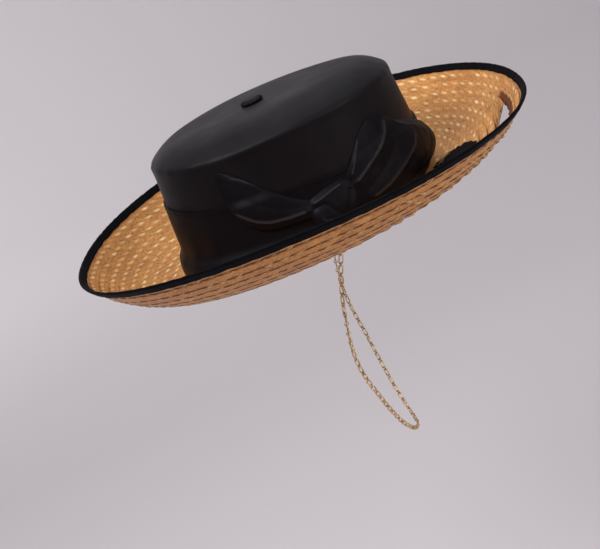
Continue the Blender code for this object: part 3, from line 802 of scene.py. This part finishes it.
def makeCrown():
    # rings from the middle of the top over the shoulder, down the side, round the foot and up the inside
    angle = ringAngles(crown["around"])
    rings = []
    edge = crownTop(angle, 1.0)

    def seamLift(away):     # a ridge that falls off on both sides of the top edge as exp(-distance^2)
        full = crown["ridge"] * (1.0 + 0.3 * waves(angle, 22, 6, 40))
        return full * np.exp(-(away / crown["ridgeWidth"]) ** 2)

    for share in np.concatenate([np.linspace(0.03, 0.80, 24), np.linspace(0.82, 0.995, 34)]):
        away = np.linalg.norm(crownTop(angle, share) - edge, axis=-1)
        sag = crown["sag"] * waves(angle, 21, 2, 9, share * 9.0, 0.6) * share
        rings.append(crownTop(angle, share, sag * 0.6 + seamLift(away)))
    for share in np.concatenate([1.0 - np.linspace(0.0, 1.0, 16) ** 1.5 * 0.14, np.linspace(0.84, 0.0, 30)]):
        away = (1.0 - share) * hatForm["crownHeight"]
        sag = crown["sag"] * waves(angle, 23, 3, 14, share * 5.0, 0.8) * smoothStep(share, 0.55, 0.8)
        rings.append(crownSide(angle, share, seamLift(away) + sag * smoothStep(away, 0.0, 0.008)))
    grid = np.stack(rings)
    first, after = crown["smoothRows"]
    for turn in range(crown["smoothing"]):
        beside = grid[first - 1:after - 1] + grid[first + 1:after + 1]
        grid[first:after] = 0.5 * grid[first:after] + 0.25 * beside
    wall = hatForm["crownWall"]
    inner = [crownSide(angle, share, -wall) for share in (0.0, 0.4, 0.8, 0.93)]
    for share in (0.95, 0.92, 0.87, 0.78, 0.6, 0.3, 0.06):
        ring = crownTop(angle, share, -wall)
        ring[:, 2] -= 0.2 * wall
        inner.append(ring)
    grid = np.concatenate([grid, np.stack(inner)])
    steps = np.linalg.norm(np.diff(grid, axis=0), axis=-1).mean(axis=1)
    rowPlaces = np.concatenate([[0.0], np.cumsum(steps)])[:, None]
    uv = uvOf(np.linspace(0.0, 56.0, crown["around"] + 1), 100.0 * rowPlaces)
    mesh = gridMesh("crown_cover", grid, uv=uv)
    return addPiece("crown_cover", mesh, crownCloth, ["crown"], 80.0)


makeCrown()
print("crown covered")

button = {
    "radius": 0.0084,
    "rise": 0.0031,
    "back": 0.0069,         # how far it lies behind the middle of the top
    "side": 0.0030,         # and how far towards the wearer's right
    "puckers": 17,
    "pucker": 0.00022,
}


def makeButton():
    # turned cap: height falls as the fourth power of the radius, with a puckered edge and a flat back
    angle = ringAngles(96)
    shares = np.concatenate([np.linspace(0.05, 1.0, 16), [1.02, 0.97, 0.5, 0.1]])
    heights = np.concatenate([0.42 + 0.58 * (1.0 - np.linspace(0.05, 1.0, 16) ** 4), [0.22, 0.0, 0.0, 0.0]])
    lean = hatForm["topLean"] / (foot["length"] - hatForm["crownDrawIn"])
    base = hatForm["crownHeight"] + hatForm["shoulderRise"] + hatForm["gap"]
    rings = []
    for share, height in zip(shares, heights):
        puckers = np.cos(button["puckers"] * angle + 0.8 * np.sin(3.0 * angle))
        rough = button["pucker"] * puckers * smoothStep(share, 0.45, 0.95) * (height > 0.0)
        x = np.cos(angle) * (button["radius"] * share + rough) - button["back"] - hatForm["topBack"]
        y = np.sin(angle) * (button["radius"] * share + rough) - button["side"]
        z = base + lean * (x + hatForm["topBack"]) + button["rise"] * height + rough
        rings.append(np.stack([x, y, z], axis=-1))
    uv = uvOf(np.linspace(0.0, 5.3, len(angle) + 1), 0.06 * np.arange(1, len(rings) + 1)[:, None])
    mesh = gridMesh("crown_button_cloth", np.stack(rings), uv=uv)
    return addPiece("crown_button_cloth", mesh, bowCloth, ["crown_button"], 60.0)


makeButton()

# Band and bow

band = {
    "backHeight": 0.0522,   # height of its top edge above the origin
    "frontHeight": 0.0420,
    "wall": 0.0012,
    "backRoll": 0.0046,     # how far the soft roll at its foot stands out
    "frontRoll": 0.0006,
    "hem": 0.00018,
    "crease": 0.26,         # share of its height where the roll turns into the flat band
    "creaseRise": 0.0006,
    "ripple": 0.00022,
    "wander": 0.0005,       # unevenness of its top edge
    "around": 420,
}


def bandLift(angle, share):
    # lift of the band's outer face: a roll near its foot that is fullest at the back, a crease above it
    # that falls off exponentially, a half-round hem on top, and fine ripples
    front = 0.5 + 0.5 * np.cos(angle)
    roll = band["backRoll"] + (band["frontRoll"] - band["backRoll"]) * front
    bulge = np.exp(-(np.abs(share - 0.15) / 0.16) ** 3)
    crease = np.exp(-np.abs(share - band["crease"] - 0.02 * np.sin(2.0 * angle)) / 0.035)
    hem = smoothStep(share, 0.93, 0.95) * np.sqrt(np.clip(1.0 - ((share - 0.965) / 0.04) ** 2, 0.0, 1.0))
    ripple = waves(angle, 31, 5, 26, share * 6.0, 0.7) * np.sin(math.pi * share)
    return (hatForm["gap"] + band["wall"] + roll * bulge + band["creaseRise"] * crease * (1.0 - 0.5 * front)
            + band["hem"] * hem + band["ripple"] * ripple)


def makeBand():
    # the band's outer face from foot to top edge, then its plain back; the top edge goes from its height at
    # the back to its height at the front as the cosine of the angle
    angle = ringAngles(band["around"])
    front = 0.5 + 0.5 * np.cos(angle)
    top = band["backHeight"] + (band["frontHeight"] - band["backHeight"]) * front
    top = top + band["wander"] * waves(angle, 32, 2, 9)
    low = footHeight(angle) + hatForm["gap"]
    span = hatForm["crownHeight"] - footHeight(angle)
    sections = []
    for share in np.concatenate([np.linspace(0.0, 0.9, 34), np.linspace(0.92, 1.0, 9)]):
        place = (low + (top - low) * share - footHeight(angle)) / span
        lift = bandLift(angle, share)
        lift = lift if share > 0.0 else hatForm["gap"] + 0.6 * band["wall"] + 0.0 * angle
        sections.append(crownSide(angle, place, lift))
    for share in (1.0, 0.66, 0.33, 0.0):
        place = (low + (top - low) * share - footHeight(angle)) / span
        sections.append(crownSide(angle, place, hatForm["gap"]))
    grid = np.stack(sections, axis=1)
    uv = uvOf(np.linspace(0.0, 56.0, len(grid) + 1)[:, None], np.linspace(0.0, 11.0, len(sections) + 1))
    mesh = gridMesh("crown_band_cloth", grid, wrapRows=True, uv=uv)
    return addPiece("crown_band_cloth", mesh, bowCloth, ["crown_band"], 55.0)


makeBand()

# Each row of an edge table is an angle in degrees from the front, then the low edge, the high edge and the
# fullness; edges and a fold's line count in shares of the crown's height above its foot, fullness in shares
knot = {
    "puff": 0.0050,
    "edges": ((-87.0, 0.21, 0.40, 0.50), (-84.0, 0.15, 0.43, 0.85), (-78.0, 0.11, 0.46, 1.00),
              (-72.0, 0.13, 0.47, 0.90), (-68.6, 0.18, 0.44, 0.60), (-66.8, 0.22, 0.40, 0.35)),
    "folds": (
        {"line": ((-80.6, 0.36), (-79.2, 0.28), (-77.2, 0.22), (-74.5, 0.15)), "rise": -0.0009,
         "above": 0.0011, "below": 0.0020},
        {"line": ((-69.4, 0.38), (-71.6, 0.31), (-73.6, 0.24), (-74.4, 0.16)), "rise": -0.0008,
         "above": 0.0016, "below": 0.0010},
        {"line": ((-86.0, 0.385), (-82.0, 0.40), (-76.0, 0.43), (-71.0, 0.445)), "rise": 0.0009,
         "above": 0.0008, "below": 0.0018},
        {"line": ((-86.0, 0.34), (-83.0, 0.345), (-80.4, 0.35)), "rise": -0.0010,
         "above": 0.0009, "below": 0.0012},
        {"line": ((-84.5, 0.25), (-81.0, 0.20), (-78.0, 0.16)), "rise": 0.0006,
         "above": 0.0014, "below": 0.0014},
    ),
}
backLoop = {
    "puff": 0.0036,
    "edges": ((-84.8, 0.26, 0.42, 0.50), (-88.0, 0.28, 0.46, 0.75), (-93.0, 0.29, 0.56, 0.90),
              (-99.0, 0.30, 0.67, 1.00), (-105.0, 0.34, 0.79, 0.95), (-110.0, 0.42, 0.87, 0.80),
              (-113.5, 0.53, 0.905, 0.55), (-116.0, 0.63, 0.85, 0.25)),
    "folds": (
        {"line": ((-85.0, 0.345), (-93.2, 0.361), (-99.8, 0.385), (-104.8, 0.43), (-110.8, 0.527),
                  (-114.1, 0.60)), "rise": 0.0011, "above": 0.0060, "below": 0.0010},
        {"line": ((-85.0, 0.44), (-92.9, 0.60), (-99.7, 0.70), (-106.1, 0.80), (-112.9, 0.87)),
         "rise": 0.0006, "above": 0.0008, "below": 0.0030},
        {"line": ((-86.0, 0.385), (-94.0, 0.45), (-102.0, 0.56), (-110.0, 0.68)),
         "rise": -0.0005, "above": 0.0030, "below": 0.0030},
    ),
}
frontLoop = {
    "puff": 0.0085,
    "edges": ((-70.5, 0.18, 0.44, 0.26), (-67.5, 0.14, 0.50, 0.32), (-63.2, 0.11, 0.58, 0.36),
              (-56.0, 0.09, 0.72, 0.41), (-49.0, 0.07, 0.79, 0.43), (-41.0, 0.07, 0.75, 0.45),
              (-32.0, 0.08, 0.635, 0.48), (-22.0, 0.09, 0.55, 0.51), (-12.0, 0.11, 0.47, 0.54),
              (-3.0, 0.12, 0.395, 0.60), (3.0, 0.12, 0.365, 0.46), (7.5, 0.16, 0.31, 0.23)),
    "folds": (
        {"line": ((-69.7, 0.363), (-65.1, 0.405), (-59.1, 0.467), (-53.4, 0.522), (-48.6, 0.569),
                  (-44.2, 0.623), (-41.0, 0.70), (-38.5, 0.78)),
         "rise": 0.0013, "above": 0.0011, "below": 0.0040},
        {"line": ((-67.0, 0.20), (-60.6, 0.200), (-54.8, 0.217), (-49.2, 0.250), (-43.5, 0.286),
                  (-37.6, 0.324), (-32.3, 0.360), (-28.0, 0.43), (-25.0, 0.52)),
         "rise": 0.0013, "above": 0.0048, "below": 0.0009},
        {"line": ((-66.0, 0.155), (-54.5, 0.140), (-44.0, 0.135), (-32.3, 0.160), (-21.7, 0.206),
                  (-14.0, 0.25), (-8.0, 0.33), (-8.0, 0.44)),
         "rise": -0.0011, "above": 0.0016, "below": 0.0016},
        {"line": ((-68.0, 0.43), (-63.0, 0.56), (-56.5, 0.71)),
         "rise": 0.0007, "above": 0.0008, "below": 0.0022},
        {"line": ((-66.0, 0.26), (-58.0, 0.32), (-50.0, 0.40), (-42.0, 0.49), (-36.0, 0.60)),
         "rise": -0.0006, "above": 0.0026, "below": 0.0026},
        {"line": ((-36.0, 0.66), (-28.0, 0.56), (-18.0, 0.44), (-10.0, 0.30)),
         "rise": 0.0007, "above": 0.0030, "below": 0.0020},
    ),
}
drape = {
    "inside": 0.0018,       # lift of a drape's back, clear of the band
    "high": 0.0006,         # and above the band
    "edge": 0.0006,
    "footRoom": 0.0030,     # extra room for the band's roll at the foot
    "meanRadius": 0.092,    # turns an angle into a length when distances to a fold are measured
    "soften": 0.0004,
    "crumple": 0.00012,
    # fullness across a drape: shares of the way up it, and the puff there
    "ups": (0.00, 0.03, 0.07, 0.13, 0.20, 0.29, 0.38, 0.47, 0.56, 0.65, 0.74, 0.82, 0.90, 0.96, 1.00),
    "fulls": (0.0, 0.40, 0.62, 0.79, 0.90, 0.97, 1.00, 0.96, 0.88, 0.76, 0.62, 0.49, 0.34, 0.19, 0.00),
    "angles": 200,
    "heights": 72,
}


def foldLift(x, z, fold, height):
    # ridge or groove: falls off exponentially with the distance to the line, at its own rate on each side
    line = np.array(fold["line"])
    corners = np.stack([np.radians(line[:, 0]) * drape["meanRadius"], line[:, 1] * height], axis=1)
    lengths = np.linalg.norm(np.diff(corners, axis=0), axis=1)
    starts = np.concatenate([[0.0], np.cumsum(lengths)])
    best = np.full(x.shape, 1e3)
    side = np.zeros(x.shape)
    walked = np.zeros(x.shape)
    for index, length in enumerate(lengths):
        (startX, startZ), (endX, endZ) = corners[index], corners[index + 1]
        stepX, stepZ = (endX - startX) / length, (endZ - startZ) / length
        along = np.clip((x - startX) * stepX + (z - startZ) * stepZ, 0.0, length)
        awayX, awayZ = x - startX - along * stepX, z - startZ - along * stepZ
        distance = np.hypot(awayX, awayZ)
        nearer = distance < best
        best = np.where(nearer, distance, best)
        upwards = awayZ * abs(stepX) - awayX * stepZ * np.sign(stepX)
        side = np.where(nearer, upwards, side)
        walked = np.where(nearer, starts[index] + along, walked)
    rate = np.where(side > 0.0, fold["above"], fold["below"])
    reach = np.sqrt(best ** 2 + drape["soften"] ** 2) - drape["soften"]
    walked = walked / starts[-1]
    fade = smoothStep(walked, 0.0, 0.12) * (1.0 - smoothStep(walked, 0.86, 1.0))
    return fold["rise"] * np.exp(-reach / rate) * fade


def insideLift(angle, share):
    # a drape's back clears the band, and above the band's top edge comes in to the crown
    top = 0.50 + 0.11 * (0.5 - 0.5 * np.cos(angle))
    return drape["high"] + (drape["inside"] - drape["high"]) * (1.0 - smoothStep(share, top, top + 0.08))


def makeDrape(name, shape, seed, replaced):
    # cloth over the band: lift is the puff times its fullness up and along the piece, with its folds
    table = np.array(sorted(shape["edges"]))
    degrees = np.linspace(table[0, 0], table[-1, 0], drape["angles"])
    low, high, fullness = [np.interp(degrees, table[:, 0], table[:, column]) for column in (1, 2, 3)]
    kernel = np.hanning(13) / np.hanning(13).sum()
    low, high, fullness = [np.convolve(np.pad(line, 6, mode="edge"), kernel, mode="valid")
                           for line in (low, high, fullness)]
    angle = np.radians(degrees)[:, None]
    q = (0.5 - 0.5 * np.cos(np.linspace(0.0, math.pi, drape["heights"])))[None, :]
    share = low[:, None] + (high - low)[:, None] * q
    height = hatForm["crownHeight"] - float(footHeight(0.0))
    fromEnd = np.minimum(degrees - degrees[0], degrees[-1] - degrees)[:, None]
    rounding = np.sqrt(1.0 - (1.0 - np.clip(fromEnd / 4.0, 0.0, 1.0)) ** 2)
    room = drape["footRoom"] * (0.5 - 0.5 * np.cos(angle)) + 0.0008
    under = insideLift(angle, share) + room * np.clip(1.0 - share / 0.4, 0.0, 1.0)
    swell = np.interp(q, drape["ups"], drape["fulls"])
    x, z = angle * drape["meanRadius"] + 0.0 * q, share * height
    lines = [foldLift(x, z, fold, height) for fold in shape["folds"]]
    folds = sum(lines)
    # a ridge gets a painted sheen along its top, fully if it stands 1 mm or more
    rises = [(line, fold["rise"]) for line, fold in zip(lines, shape["folds"]) if fold["rise"] > 0.0]
    sheenRidges = sum(smoothStep(line, 0.72 * rise, rise) * min(1.0, rise / 0.0010) for line, rise in rises)
    crumple = drape["crumple"] * waves(angle * 3.0, seed, 4, 22, share * 14.0, 1.4)
    lift = under + drape["edge"] + shape["puff"] * fullness[:, None] * swell * (0.35 + 0.65 * rounding)
    lift = lift + (folds + crumple) * np.sin(math.pi * q) ** 0.35 * rounding
    lift = np.maximum(lift, under + 0.5 * drape["edge"])
    outer = crownSide(angle + 0.0 * q, share, lift)
    backShare = low[:, None] + (high - low)[:, None] * np.linspace(1.0, 0.0, 6)[None, :]
    backUnder = insideLift(angle, backShare) + room * np.clip(1.0 - backShare / 0.4, 0.0, 1.0)
    back = crownSide(angle + 0.0 * backShare, backShare, backUnder)
    grid = np.concatenate([outer, back], axis=1)
    v = np.concatenate([100.0 * z, 100.0 * height * backShare + 0.4, 100.0 * z[:, :1]], axis=1)
    wearAndSheen = np.concatenate([np.clip(sheenRidges, 0.0, 1.0), np.zeros(back.shape[:2])], axis=1)
    mesh = gridMesh(name, grid, uv=uvOf(100.0 * x[:, :1], v), values={"wearAndSheen": wearAndSheen})
    return addPiece(name, mesh, bowCloth, [replaced], 50.0)


knotPiece = makeDrape("bow_knot_cloth", knot, 41, "bow_knot")
backPiece = makeDrape("bow_loop_back_cloth", backLoop, 42, "bow_loop_back")
frontPiece = makeDrape("bow_loop_front_cloth", frontLoop, 43, "bow_loop_front")
print("band and bow draped")

# Chain under the chin

chain = {
    "route": (              # points on the wearer's right, from the eye to the chin
        (0.0175, -0.0760, 0.0010), (0.0125, -0.0760, -0.0135), (0.0074, -0.0760, -0.0268),
        (0.0015, -0.0756, -0.0451), (-0.0019, -0.0748, -0.0609), (-0.0051, -0.0730, -0.0775),
        (-0.0068, -0.0703, -0.0929), (-0.0068, -0.0672, -0.1060), (-0.0053, -0.0625, -0.1209),
        (-0.0030, -0.0572, -0.1345), (-0.0011, -0.0505, -0.1488), (0.0012, -0.0425, -0.1630),
        (0.0038, -0.0330, -0.1775), (0.0066, -0.0245, -0.1882), (0.0093, -0.0160, -0.1966),
        (0.0117, -0.0080, -0.2016), (0.0126, 0.0000, -0.2031),
    ),
    "linkLength": 0.0075,   # outer sizes of one long link
    "linkWidth": 0.0037,
    "linkWire": 0.00052,    # radius
    "ringWire": 0.00032,
    "pitch": 0.0078,
    "slack": 0.00004,
    "hookUp": 0.0017,       # the first link reaches up round the eye's wire
    "cornering": 4.2,       # power of a long link's superellipse
    "tip": 0.10,            # random spread of the links' turns about their length, in radians
    "readings": 2400,
    "seed": 51,
    # share of the half loop, and degrees that the links' faces turn from facing outwards
    "turns": ((0.0, 8.0), (0.13, 6.0), (0.19, 40.0), (0.26, 82.0), (0.34, 82.0), (0.40, 56.0), (0.48, 24.0),
              (0.8, 8.0), (1.0, 0.0)),
}


def smoothPath(points, count):
    # spline through the points, each piece a cubic of the four points around it, read at even distances
    points = np.array(points)
    padded = np.concatenate([[2 * points[0] - points[1]], points, [2 * points[-1] - points[-2]]])
    share = np.linspace(0.0, 1.0, 24, endpoint=False)[None, :, None]
    before, here, there, after = [padded[start:start + len(points) - 1][:, None, :] for start in range(4)]
    runs = 0.5 * (2.0 * here + (there - before) * share
                  + (2.0 * before - 5.0 * here + 4.0 * there - after) * share ** 2
                  + (3.0 * here - before - 3.0 * there + after) * share ** 3)
    path = np.concatenate([runs.reshape(-1, 3), points[-1:]])
    walked = walkOf(path)
    places = np.linspace(0.0, walked[-1], count)
    return np.stack([np.interp(places, walked, line) for line in path.T], axis=1), walked[-1]


def wireLoops(centres, longAxes, sideAxes, halfLength, halfWidth, wire, corner, steps, sides):
    # closed wires: the path is a superellipse on each link's two axes, the section a circle round it
    turn = ringAngles(steps)
    x, y = oval(turn, halfLength, halfWidth, corner)
    aheadX, aheadY = np.roll(x, -1) - np.roll(x, 1), np.roll(y, -1) - np.roll(y, 1)
    size = np.hypot(aheadX, aheadY)
    outX, outY = aheadY / size, -aheadX / size
    around = ringAngles(sides)
    normals = np.cross(longAxes, sideAxes)[:, None, None, :]
    reachX = x[:, None] + wire * np.cos(around)[None, :] * outX[:, None]
    reachY = y[:, None] + wire * np.cos(around)[None, :] * outY[:, None]
    return (centres[:, None, None, :] + reachX[None, :, :, None] * longAxes[:, None, None, :]
            + reachY[None, :, :, None] * sideAxes[:, None, None, :]
            + (wire * np.sin(around))[None, None, :, None] * normals)


def loopsMesh(name, groups):
    # each group is an array of closed wires: links, steps along the wire, sides round it
    points, quads, start = [], [], 0
    for loops in groups:
        count, steps, sides = loops.shape[:3]
        base = start + np.arange(count)[:, None, None, None] * steps * sides
        points.append(loops.reshape(-1, 3))
        quads.append(tubeQuads(steps, sides, closeRows=True, first=base))
        start += count * steps * sides
    return buildMesh(name, np.concatenate(points), [np.concatenate(quads)])


def makeChain():
    # long links at even steps along the route and its mirror image, with a ring at every joint between two
    half = 0.5 * chain["readings"]
    mirrored = [(x, -y, z) for x, y, z in reversed(chain["route"][:-1])]
    route = [np.array(point) for point in list(chain["route"]) + mirrored]
    rise = (route[0] - route[1]) / np.linalg.norm(route[0] - route[1]) * chain["hookUp"]
    route[0] = route[0] + rise
    route[-1] = route[-1] + rise * np.array([1.0, -1.0, 1.0])
    path, length = smoothPath(route, chain["readings"] + 1)
    count = round(length / chain["pitch"])
    pitch = length / count
    middles = (np.arange(count) + 0.5) / count * chain["readings"]
    joints = np.arange(1, count) / count * chain["readings"]

    def read(places):
        return np.stack([np.interp(places, np.arange(len(path)), line) for line in path.T], axis=1)

    def axesAt(places):
        # along the chain, across the link and out of its face, turned about the chain as the table says
        ahead = unit(read(places + 12.0) - read(places - 12.0))
        outward = read(places) * np.array([0.0, 1.0, 0.0]) + np.array([[0.012, 0.0, -0.004]])
        outward = unit(outward - ahead * np.sum(outward * ahead, axis=1)[:, None])
        sideways = np.cross(ahead, outward)
        shares, degrees = np.array(chain["turns"]).T
        turn = np.radians(np.interp(1.0 - np.abs(places / half - 1.0), shares, degrees))
        turn = turn * np.where(places < half, 1.0, -1.0)
        face = outward * np.cos(turn)[:, None] + sideways * np.sin(turn)[:, None]
        return ahead, np.cross(ahead, face), face

    wire, ringWire = chain["linkWire"], chain["ringWire"]
    ahead, sideways, face = axesAt(middles)
    random = np.random.default_rng(chain["seed"])
    tip = random.normal(0.0, chain["tip"], count)[:, None]
    sideways = sideways * np.cos(tip) + face * np.sin(tip)
    halfLength, halfWidth = 0.5 * chain["linkLength"] - wire, 0.5 * chain["linkWidth"] - wire
    links = wireLoops(read(middles), ahead, sideways, halfLength, halfWidth, wire, chain["cornering"], 28, 8)
    ringAxes = axesAt(joints)
    ringReach = 0.5 * pitch - halfLength + wire + ringWire + chain["slack"]
    rings = wireLoops(read(joints), ringAxes[0], ringAxes[2], ringReach, ringReach, ringWire, 2.0, 16, 6)
    print(f"chain: {length * 1000:.1f} mm round, {count} links, ring {2000 * (ringReach + ringWire):.2f} mm")
    return addPiece("chin_chain_links", loopsMesh("chin_chain_links", [links, rings]), gold, ["chin_chain"])


makeChain()
for node in ("chain_eye_right", "chain_eye_left"):
    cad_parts[node].data.materials.clear()
    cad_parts[node].data.materials.append(gold)
print("chain linked")

# Camera, light and stage

view = {
    "place": (0.06209, -0.76959, 0.24277),
    "azimuth": 6.674,       # degrees
    "elevation": 20.286,
    "roll": -23.504,
    "lens": 63.7,           # millimetres, as the sensor's width
    "sensor": 36.0,
    "farthest": 60.0,
}
stage = {
    "floorHeight": -0.62,
    "flat": 3.0,            # the floor is flat out to here, then turns up into the backdrop
    "bend": 2.2,
    "wall": 4.0,
    "floorColour": (0.67, 0.635, 0.655),
    "lights": (             # name, place, the point it looks at, size, watts
        ("key", (-0.70, -0.75, 1.10), (0.0, 0.0, 0.0), 0.8, 15.5),
        ("fill", (1.0, -0.90, 0.55), (0.0, 0.0, 0.0), 0.9, 6.0),
        ("top", (0.15, 0.30, 1.25), (0.0, 0.0, 0.0), 0.9, 3.0),
        ("backdrop", (-1.6, 1.6, 1.6), (-2.2, 5.0, 0.4), 1.6, 34.0),
    ),
    "skyColour": (0.98, 0.97, 1.0),
    "skyStrength": 0.62,
}


def aimCamera():
    # the camera looks back along azimuth and elevation, then turns about its own axis by roll
    azimuth, elevation, roll = [math.radians(view[key]) for key in ("azimuth", "elevation", "roll")]
    back = Vector((math.sin(azimuth) * math.cos(elevation), -math.cos(azimuth) * math.cos(elevation),
                   math.sin(elevation)))
    right = Vector((0.0, 0.0, 1.0)).cross(back).normalized()
    up = back.cross(right)
    xAxis = right * math.cos(roll) + up * math.sin(roll)
    yAxis = up * math.cos(roll) - right * math.sin(roll)
    data = bpy.data.cameras.new("view")
    data.lens = view["lens"]
    data.sensor_width = view["sensor"]
    data.clip_end = view["farthest"]
    camera = newObject("view", data)
    turned = Matrix((xAxis, yAxis, back)).transposed().to_4x4()
    camera.matrix_world = Matrix.Translation(view["place"]) @ turned
    bpy.context.scene.camera = camera


def setStage():
    # bowl: a flat floor that turns up all round along a quarter circle into an upright backdrop
    material, tree, shader = newMaterial("paleFloor", Roughness=0.95, Specular_IOR_Level=0.1)
    shader.inputs["Base Color"].default_value = (*stage["floorColour"], 1.0)
    bend = np.linspace(0.0, 0.5 * math.pi, 25)
    radii = np.concatenate([[0.01, 1.0, 2.0], stage["flat"] + stage["bend"] * np.sin(bend),
                            [stage["flat"] + stage["bend"]]])
    heights = np.concatenate([[0.0, 0.0, 0.0], stage["bend"] * (1.0 - np.cos(bend)), [stage["wall"]]])
    turn = ringAngles(96)
    grid = np.stack([radii[:, None] * np.cos(turn), radii[:, None] * np.sin(turn),
                     stage["floorHeight"] + heights[:, None] + 0.0 * turn], axis=-1)
    quads = tubeQuads(*grid.shape[:2])[:, [0, 3, 2, 1]]
    mesh = bpy.data.meshes.new("floor")
    mesh.from_pydata(grid.reshape(-1, 3).tolist(), [], quads.tolist() + [list(range(len(turn)))[::-1]])
    mesh.shade_smooth()
    mesh.materials.append(material)
    floor = newObject("floor", mesh)
    bpy.context.scene.view_settings.view_transform = "Standard"
    for name, place, aim, size, watts in stage["lights"]:
        data = bpy.data.lights.new(name, "AREA")
        data.shape = "DISK"
        data.size = size
        data.energy = watts
        lamp = newObject(name, data)
        lamp.location = place
        lamp.rotation_euler = (Vector(aim) - Vector(place)).to_track_quat("-Z", "Y").to_euler()
    world = bpy.data.worlds.new("softSky")
    world.use_nodes = True
    background = world.node_tree.nodes["Background"]
    background.inputs["Color"].default_value = (*stage["skyColour"], 1.0)
    background.inputs["Strength"].default_value = stage["skyStrength"]
    bpy.context.scene.world = world


aimCamera()
setStage()
print("stage set")
